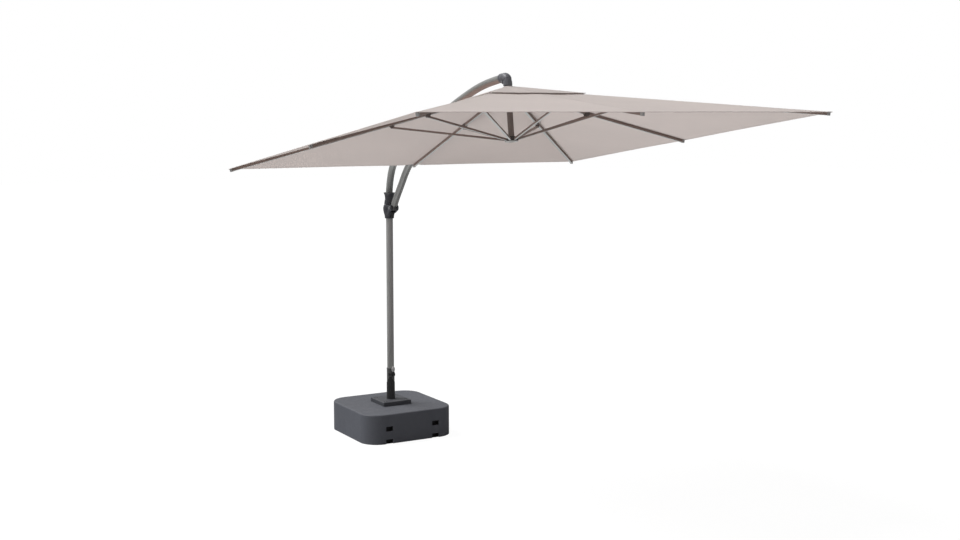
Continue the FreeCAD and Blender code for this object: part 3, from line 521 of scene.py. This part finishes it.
# material key: the CAD pieces that wear it
WEARERS = {
    "base_plastic": "base_cover",
    "dark_steel": "cross_frame boom_foot strut_bracket strut_foot strut_head",
    "concrete": "ballast_slabs",
    "rubber": "rubber_feet",
    "plate_coat": "mounting_plate",
    "zinc": "plate_bolts boom_hinge_pin strut_foot_pin elbow_pin strut_head_pin crown_pins",
    "socket_coat": "socket_tube",
    "bush": "swivel_bushes mast_foot_plug slider_liners",
    "black_plastic": "socket_shroud lock_collar lock_lever squeeze_lever",
    "lever_pad": "lever_pad",
    "mast_coat": "mast_tube",
    "housing_plastic": "mast_head slider_shell_left slider_shell_right lever_bracket",
    "boom_coat": "boom_tube",
    "strut_coat": "strut_tube",
    "elbow_plastic": "boom_fork elbow",
    "pole_coat": "centre_pole",
    "hub_plastic": "crown_hub runner",
    "runner_ring": "runner_ring",
}


def dress(piece, key):
    slots = NODES[piece].data.materials
    slots.clear()
    slots.append(materials[key])


for key, pieces in WEARERS.items():
    for piece in pieces.split():
        dress(piece, key)
for k in range(8):
    number = k + 1
    rib_coat(k)
    dress("rib_%d" % number, "rib_%d" % number)
    dress("stay_%d" % number, "stay_coat")
    if k % 2 == 0:
        dress("rib_sleeve_%d" % number, "rib_sleeve")

# ---------------------------------------------------------------- mesh helpers

def new_object(name, verts, faces, key, smooth=True):
    mesh = bpy.data.meshes.new(name)
    mesh.from_pydata([tuple(map(float, vert)) for vert in verts], [], faces)
    mesh.validate()
    mesh.update()
    obj = bpy.data.objects.new(name, mesh)
    bpy.context.scene.collection.objects.link(obj)
    mesh.materials.append(materials[key])
    if smooth:
        for polygon in mesh.polygons:
            polygon.use_smooth = True
    return obj


def solid_object(name, verts, faces, key, sharp_angle):
    """Closed piece with normals facing out and edges above sharp_angle degrees sharp."""
    obj = new_object(name, verts, faces, key)
    bm = bmesh.new()
    bm.from_mesh(obj.data)
    bmesh.ops.recalc_face_normals(bm, faces=bm.faces)
    limit = radians(sharp_angle)
    for edge in bm.edges:
        edge.smooth = len(edge.link_faces) == 2 and edge.calc_face_angle(0.0) <= limit
    bm.to_mesh(obj.data)
    bm.free()
    return obj


def sheet_faces(lines, rows):
    """Faces of a closed thin sheet: a top grid of lines x rows points, then a bottom one."""
    count = lines * rows
    faces = []

    def wall(a, b):
        faces.append((a, b, count + b, count + a))

    for i in range(lines - 1):
        for j in range(rows - 1):
            a, d = i * rows + j, (i + 1) * rows + j
            faces.append((a, a + 1, d + 1, d))
            faces.append((count + a, count + d, count + d + 1, count + a + 1))
    for i in range(lines - 1):
        start, following = i * rows, (i + 1) * rows
        wall(start, following)
        wall(following + rows - 1, start + rows - 1)
    last_line = (lines - 1) * rows
    for j in range(rows - 1):
        wall(j + 1, j)
        wall(last_line + j, last_line + j + 1)
    return faces


# ---------------------------------------------------------------- shape of the cloth roofs
# rows: half widths of the grid rows, out to the hem
# follow: rows closer than this to the hem keep their distance from it
# height, edge: functions of canopy angle (and half width)
# layers: (distance in from the edge, thickness above, thickness below), outermost first
Roof = namedtuple("Roof", "half_width rows follow height edge layers")


def plan_point(angle, half_width):
    radius = half_width / max(abs(cos(angle)), abs(sin(angle)))
    return radius * cos(angle), radius * sin(angle)


def between_ribs(angle):
    """0 over every rib, 1 half way between two ribs."""
    return sin(4.0 * angle) ** 2


def smoothstep(x):
    x = max(0.0, min(1.0, x))
    return x * x * (3 - 2 * x)


def cover_height(angle, half_width):
    """Underside of the cover: a hipped roof tight over the ribs, sagging between them."""
    rise, rib_clearance, sag, fold = 0.3664, 0.0130, 0.007, 0.0016
    span = between_ribs(angle)
    t = (half_width - OPENING_HALF) / (COVER_HALF - OPENING_HALF)
    height = rise * (1.0 - half_width / RIB_TIP) + rib_clearance
    height -= span * (sag * sin(pi * min(1.0, max(0.0, t)) ** 0.85))
    # uneven cloth: broad and fine waves, faded out at the opening and the hem
    x, y = plan_point(angle, half_width)
    waves = (noise.noise(Vector((x * 2.6, y * 2.6, 3.1))) * 0.0022
             + noise.noise(Vector((x * 7.0, y * 7.0, 9.3))) * 0.0008)
    height += waves * span * min(1.0, 6 * t) * min(1.0, 8 * (1 - t) + 0.05)
    # tension folds fanning out of each corner
    from_corner = (angle - pi / 4) % (pi / 2)
    from_corner = min(from_corner, pi / 2 - from_corner)
    fan = sin(from_corner * 60.0) * exp(-((from_corner - 0.12) / 0.07) ** 2)
    fan *= smoothstep((t - 0.55) / 0.45)
    return height + fold * fan * span * min(1.0, 9 * (1 - t))


def cover_edge(angle):
    """The hem draws in between the rib tips, and further at the mast to clear the strut."""
    draw_in, strut_notch, notch_angle = 0.006, 0.024, 0.038
    from_mast = (angle - MAST_ANGLE + pi) % (2 * pi) - pi
    notch = strut_notch * exp(-(from_mast / notch_angle) ** 2)
    return COVER_HALF - (draw_in * between_ribs(angle) + notch)


def vent_height(angle, half_width):
    top, drop, sag, hem_sag = 0.3925, 0.0970, 0.0045, 0.0015
    t = (half_width - VENT_INNER) / (VENT_HALF - VENT_INNER)
    slack = sag * sin(pi * min(1, t)) + hem_sag * t
    return top - drop * t ** 1.04 - between_ribs(angle) * slack


def vent_edge(angle):
    return VENT_HALF - 0.004 * between_ribs(angle)


COVER = Roof(
    COVER_HALF,
    rows=(list(np.linspace(OPENING_HALF, COVER_HALF - 0.05, 34))
          + [COVER_HALF - inset for inset in (0.029, COVER_FOLD, 0.014, HEM_LIP, 0.0)]),
    follow=0.06, height=cover_height, edge=cover_edge,
    layers=((HEM_LIP, 0.0014, 0.0004), (COVER_FOLD, 0.0026, 0.0010)))
VENT = Roof(
    VENT_HALF,
    rows=(list(np.linspace(CROWN_HALF, VENT_HALF - 0.03, 14))
          + [VENT_HALF - inset for inset in (0.0205, VENT_FOLD, 0.009, HEM_LIP, 0.0)]),
    follow=0.031, height=vent_height, edge=vent_edge,
    layers=((HEM_LIP, 0.0012, 0.0006), (VENT_FOLD, 0.0022, 0.0012)))
COVER_LINES = 31          # grid lines across one gore of the cover
VENT_LINES = 15           # and across one gore of the vent cap


def cover_angles(k):
    """Grid lines of a cover gore, closer together near its rib."""
    t = np.linspace(-1, 1, COVER_LINES)
    t = np.sign(t) * (0.35 * np.abs(t) + 0.65 * np.abs(t) ** 1.6)
    return rib_angle(k) + HALF_GORE * t


def vent_angles(k):
    return rib_angle(k) + HALF_GORE * np.linspace(-1, 1, VENT_LINES)


def place_row(roof, row, edge):
    if row < roof.half_width - roof.follow:
        return row
    return edge - (roof.half_width - row)


def thickness(roof, from_edge):
    for width, above, below in roof.layers:
        if from_edge < width:
            return above, below
    return CLOTH_THICK, 0.0


# ---------------------------------------------------------------- cloth run of the cover
SETTLE_FRAMES = 16
SETTLE_LIMIT = 0.006      # the furthest a point may move
CLOTH_SETTINGS = dict(
    vertex_group_mass="pin", quality=6, mass=0.20, tension_stiffness=18.0,
    compression_stiffness=6.0, shear_stiffness=4.0, bending_stiffness=0.25, air_damping=3.0)


def pin_weight(i, j, half_width):
    """Held at the ribs, the top opening and the hem; eased over 0.30 m from the opening."""
    from_rib = abs(i - COVER_LINES // 2)
    if from_rib == 0 or j == 0 or j >= len(COVER.rows) - 5:
        return 1.0
    if from_rib <= 2:
        return 0.9
    return max(0.0, 0.9 * (1.0 - (half_width - OPENING_HALF) / 0.30))


def run_cloth(obj, pins):
    """Vertex places after the cloth run, as an array of points."""
    group = obj.vertex_groups.new(name="pin")
    for index, weight in enumerate(pins):
        if weight > 0:
            group.add([index], weight, "REPLACE")
    modifier = obj.modifiers.new("Cloth", "CLOTH")
    for name, value in CLOTH_SETTINGS.items():
        setattr(modifier.settings, name, value)
    modifier.settings.effector_weights.gravity = 0.30
    modifier.collision_settings.use_collision = False
    modifier.collision_settings.use_self_collision = False
    modifier.point_cache.frame_start = 1
    modifier.point_cache.frame_end = SETTLE_FRAMES
    scene = bpy.context.scene
    scene.frame_start = 1
    scene.frame_end = SETTLE_FRAMES
    for number in range(1, SETTLE_FRAMES + 1):
        scene.frame_set(number)
    evaluated = obj.evaluated_get(bpy.context.evaluated_depsgraph_get())
    mesh = evaluated.to_mesh()
    places = np.empty(len(mesh.vertices) * 3)
    mesh.vertices.foreach_get("co", places)
    evaluated.to_mesh_clear()
    scene.frame_set(1)
    return places.reshape(-1, 3)


def settle_cover():
    """Shift of every cover grid point along the canopy axis when the cloth settles.

    The whole cover runs as one sheet.
    """
    ring = [(k, i) for k in range(8) for i in range(COVER_LINES - 1)]
    lines, rows = len(ring), len(COVER.rows)
    still = np.zeros((lines, rows, 3))
    verts, pins, faces = [], [], []
    for k, i in ring:
        angle = cover_angles(k)[i]
        edge = cover_edge(angle)
        for j, row in enumerate(COVER.rows):
            half_width = place_row(COVER, row, edge)
            height = cover_height(angle, half_width)
            verts.append(canopy_point(*plan_point(angle, half_width), height))
            pins.append(pin_weight(i, j, half_width))
    for line in range(lines):
        a, b = line * rows, (line + 1) % lines * rows
        for j in range(rows - 1):
            faces.append((a + j, b + j, b + j + 1, a + j + 1))
    obj = new_object("cover_run", verts, faces, "canopy_cloth")
    shift = run_cloth(obj, pins) - np.array(verts, float)
    mesh = obj.data
    bpy.data.objects.remove(obj)
    bpy.data.meshes.remove(mesh)
    if not np.isfinite(shift).all():    # the cloth run may blow up
        return still
    length = np.linalg.norm(shift, axis=1, keepdims=True)
    limited = SETTLE_LIMIT * np.tanh(length / SETTLE_LIMIT) / np.maximum(length, 1e-9)
    shift = shift * np.where(length > 1e-9, limited, 0.0)
    shift = shift.reshape(lines, rows, 3)
    freedom = (1.0 - np.array(pins).reshape(lines, rows, 1)) ** 0.5
    for _ in range(10):    # keep the broad folds, drop the grid-scale chatter
        shift = (np.roll(shift, 1, 0) + 2 * shift + np.roll(shift, -1, 0)) / 4
        shift[:, 1:-1] = (shift[:, :-2] + 2 * shift[:, 1:-1] + shift[:, 2:]) / 4
        shift = shift * freedom
    return (shift @ CANOPY_Z)[:, :, None] * CANOPY_Z


# ---------------------------------------------------------------- cover and vent cap

def cloth_gore(name, roof, angles, shift=None):
    """One closed cloth panel, centred on a rib."""
    if shift is None:
        shift = np.zeros((len(angles), len(roof.rows), 3))
    top, bottom = [], []
    for angle, moves in zip(angles, shift):
        edge = roof.edge(angle)
        for row, move in zip(roof.rows, moves):
            half_width = place_row(roof, row, edge)
            x, y = plan_point(angle, half_width)
            z = roof.height(angle, half_width)
            above, below = thickness(roof, edge - half_width)
            bottom.append(canopy_point(x, y, z - below) + move)
            top.append(canopy_point(x, y, z + above) + move)
    faces = sheet_faces(len(angles), len(roof.rows))
    return solid_object(name, top + bottom, faces, "canopy_cloth", sharp_angle=40)


def hang_on_rib(gore, k, replaced):
    """The gore rides its rib."""
    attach(gore, "rib_%d" % (k + 1))
    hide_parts(replaced)
    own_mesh(gore)


def vent_crown():
    """Fixed middle of the vent cap, round the pole: the vent gores start at its rim."""
    angles = [angle for k in range(8) for angle in vent_angles(k)[:-1]]
    half_widths = np.linspace(VENT_INNER, CROWN_HALF, 6)
    lines, rows = len(angles), len(half_widths)
    top, bottom, faces = [], [], []
    for angle in angles:
        for half_width in half_widths:
            x, y = plan_point(angle, half_width)
            z = vent_height(angle, half_width)
            bottom.append(canopy_point(x, y, z))
            top.append(canopy_point(x, y, z + CLOTH_THICK))
    under = lines * rows
    for i in range(lines):
        a, b = i * rows, (i + 1) % lines * rows
        for j in range(rows - 1):
            faces.append((a + j, b + j, b + j + 1, a + j + 1))
            faces.append((under + a + j, under + a + j + 1, under + b + j + 1, under + b + j))
        for j in (0, rows - 1):
            faces.append((a + j, b + j, under + b + j, under + a + j))
    return solid_object("vent_crown", top + bottom, faces, "canopy_cloth", sharp_angle=50)


settled = settle_cover()
for k in range(8):
    lines = (k * (COVER_LINES - 1) + np.arange(COVER_LINES)) % len(settled)
    gore = cloth_gore("canopy_gore_%d" % (k + 1), COVER, cover_angles(k), settled[lines])
    hang_on_rib(gore, k, "canopy_fabric")

crown = vent_crown()
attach(crown, "canopy_head")
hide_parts("vent_cap")

for k in range(8):
    gore = cloth_gore("vent_gore_%d" % (k + 1), VENT, vent_angles(k))
    hang_on_rib(gore, k, "vent_cap")

# ---------------------------------------------------------------- turned pieces

def lathe(name, profile, place, key, segments, sharp_angle):
    """Closed turned piece from a closed (radius, height) profile, no point on the axis."""
    count = len(profile)
    verts, faces = [], []
    for i in range(segments):
        angle = 2 * pi * i / segments
        for radius, height in profile:
            verts.append(place(radius * cos(angle), radius * sin(angle), height))
    for i in range(segments):
        a, b = i * count, (i + 1) % segments * count
        for j in range(count):
            following = (j + 1) % count
            faces.append((a + j, b + j, b + following, a + following))
    return solid_object(name, verts, faces, key, sharp_angle)


# Sewn collar of doubled cloth round the pole: (radius, height) in the canopy frame
COLLAR = [
    (0.0225, 0.3900), (0.0340, 0.3885), (0.0372, 0.3893), (0.0378, 0.3912),
    (0.0360, 0.3932), (0.0300, 0.3962), (0.0262, 0.3986), (0.0225, 0.3990)]
collar = lathe("crown_collar", COLLAR, canopy_point, "hem_cloth", segments=72, sharp_angle=40)
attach(collar, "canopy_head")

# Mast head cowl, waisted and flared: (radius, height above the ground)
COWL = [
    (0.0420, 1.8930), (0.0405, 1.9080), (0.0364, 1.9300), (0.0356, 1.9440),
    (0.0375, 1.9620), (0.0425, 1.9780), (0.0470, 1.9870)]
# closed at the bottom, rolled over at the top rim, stepped in at the inner foot
COWL_BOTTOM = [(0.0300, 1.8932), (0.0412, 1.8930)]
COWL_RIM = [(0.0468, 1.9868), (0.0460, 1.9870), (0.0453, 1.9866)]
COWL_INNER_FOOT = [(0.0290, 1.9030), (0.0287, 1.9015), (0.0287, 1.8945)]


def cowl_radius(z):
    """Smooth cubic through the COWL stations."""
    radii, heights = zip(*COWL)
    last = len(COWL) - 1
    i = max(0, min(last - 1, int(np.searchsorted(heights, z)) - 1))

    def slope(a, b):
        return (radii[b] - radii[a]) / (heights[b] - heights[a])

    start = slope(max(i - 1, 0), i + 1)
    end = slope(i, min(i + 2, last))
    step = heights[i + 1] - heights[i]
    t = (z - heights[i]) / step
    return ((2 * t ** 3 - 3 * t ** 2 + 1) * radii[i]
            + (t ** 3 - 2 * t ** 2 + t) * step * start
            + (-2 * t ** 3 + 3 * t ** 2) * radii[i + 1]
            + (t ** 3 - t ** 2) * step * end)


def head_cowl():
    outset, inset = 0.0001, 0.0018    # outer and inner walls from the COWL curve
    heights = np.linspace(1.8936, 1.9862, 26)
    outer = [(cowl_radius(z) + outset, z) for z in heights]
    inner = [(cowl_radius(z) - inset, z) for z in heights[::-1] if z > 1.9035]
    profile = COWL_BOTTOM + outer + COWL_RIM + inner + COWL_INNER_FOOT
    return lathe("head_cowl", profile, lambda x, y, z: (x, y, z), "housing_plastic",
                 segments=96, sharp_angle=38)


cowl = head_cowl()
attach(cowl, "mast")
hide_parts("mast_head")

# ---------------------------------------------------------------- grip slots, closed behind by near-black trays of painted shade
SLOT_Y = 0.208
SLOT_HALF_WIDTH = 0.0315
SLOT_FRONT_X, SLOT_BACK_X = 0.3895, 0.3600
SLOT_CORNER = 0.004
SLOT_HEIGHTS = {"low": (0.0, 0.036), "high": (0.103, 0.141)}    # bottom, top


def slot_ring(x, grow, bottom, top):
    """Rounded outline of a slot at x, grown all round; a slot on the ground stays clear of it."""
    steps = 6
    bottom = bottom + (0.0012 if bottom < 0.01 else -grow)
    side = SLOT_HALF_WIDTH + grow - SLOT_CORNER
    low, high = bottom + SLOT_CORNER, top + grow - SLOT_CORNER
    points = []
    for y, z, start in ((side, high, 0), (-side, high, 90), (-side, low, 180), (side, low, 270)):
        for i in range(steps):
            angle = radians(start + 90.0 * i / (steps - 1))
            points.append((x, y + SLOT_CORNER * cos(angle), z + SLOT_CORNER * sin(angle)))
    return points


def slot_shade_liner(name, side_x, centre_y, bottom, top):
    """Shallow tray behind a slot: rounded rim, sloping sides, closed back, near-black as painted
    shade for the dark inside of the base.
    """
    rim = slot_ring(SLOT_FRONT_X, 0.0028, bottom, top)
    mouth = slot_ring(SLOT_FRONT_X, 0.0012, bottom, top)
    back = slot_ring(SLOT_BACK_X, -0.0030, bottom, top)
    outer_back = [(x - 0.0022, y * 1.02, z) for x, y, z in back]
    count = len(rim)
    verts = [(side_x * x, centre_y + y, z)
             for ring in (outer_back, rim, mouth, back) for x, y, z in ring]
    faces = []
    for start in (0, count, 2 * count):
        for i in range(count):
            a, b = start + i, start + (i + 1) % count
            faces.append((a, b, b + count, a + count))
    faces.append(tuple(range(count)))
    faces.append(tuple(range(3 * count, 4 * count)))
    recess = solid_object(name, verts, faces, "slot_shade_liner", sharp_angle=30)
    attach(recess, "base")


for side_x in (1, -1):
    for side_y in (1, -1):
        for level, (bottom, top) in SLOT_HEIGHTS.items():
            name = "slot_recess_%s_%d%d" % (level, side_x > 0, side_y > 0)
            slot_shade_liner(name, side_x, side_y * SLOT_Y, bottom, top)

# ---------------------------------------------------------------- floor and world

def floor_material():
    """Near white to the camera, plain grey to every other ray."""
    mat = new_material("floor")
    rays = mat.node("ShaderNodeLightPath")
    catcher = mat.node("ShaderNodeBsdfDiffuse", {0: grey(0.10)})
    glow = mat.node("ShaderNodeEmission", {"Color": WHITE, "Strength": 0.95})
    seen = mat.node("ShaderNodeAddShader", {0: catcher, 1: glow})
    bounce = mat.node("ShaderNodeBsdfDiffuse", {0: grey(0.25)})
    mat.surface(mat.node("ShaderNodeMixShader",
                         {0: rays.outputs["Is Camera Ray"], 1: bounce, 2: seen}))


def white_world():
    """White behind the scene, dimmer as a light."""
    world = bpy.data.worlds.new("world")
    bpy.context.scene.world = world
    graph = Graph(world, "ShaderNodeOutputWorld")
    rays = graph.node("ShaderNodeLightPath")
    light = graph.node("ShaderNodeBackground", {"Color": WHITE, "Strength": 0.36})
    backdrop = graph.node("ShaderNodeBackground", {"Color": WHITE, "Strength": 1.0})
    graph.surface(graph.node("ShaderNodeMixShader",
                             {0: rays.outputs["Is Camera Ray"], 1: light, 2: backdrop}))


FLOOR_HALF = 40
floor_material()
floor = new_object("floor", [(x * FLOOR_HALF, y * FLOOR_HALF, 0)
                             for x, y in ((-1, -1), (1, -1), (1, 1), (-1, 1))],
                   [(0, 1, 2, 3)], "floor", smooth=False)
floor.visible_shadow = False
white_world()

# ---------------------------------------------------------------- lights and camera

def sun(name, source, strength, angle):
    """Sun shining from the direction source, spread over angle degrees."""
    light = bpy.data.lights.new(name, "SUN")
    light.energy = strength
    light.angle = radians(angle)
    obj = bpy.data.objects.new(name, light)
    bpy.context.scene.collection.objects.link(obj)
    obj.rotation_mode = "QUATERNION"
    obj.rotation_quaternion = Vector(source).normalized().to_track_quat("Z", "Y")


sun("key", source=(-0.42, -0.40, 0.81), strength=3.0, angle=35)
sun("under", source=(-0.10, -0.36, -0.93), strength=2.75, angle=50)

CAMERA_DOWN = 6.86        # degrees below the horizon
CAMERA_TURN = 59.947      # degrees about +Z from looking along +Y
camera_data = bpy.data.cameras.new("camera")
camera_data.sensor_width = 36.0
camera_data.lens = 49.3659375
camera_data.clip_end = 200
camera = bpy.data.objects.new("camera", camera_data)
bpy.context.scene.collection.objects.link(camera)
camera.location = (9.6778, -4.7427, 2.6428)
camera.rotation_euler = (radians(90 - CAMERA_DOWN), 0, radians(CAMERA_TURN))
bpy.context.scene.camera = camera
bpy.context.scene.view_settings.view_transform = "Standard"
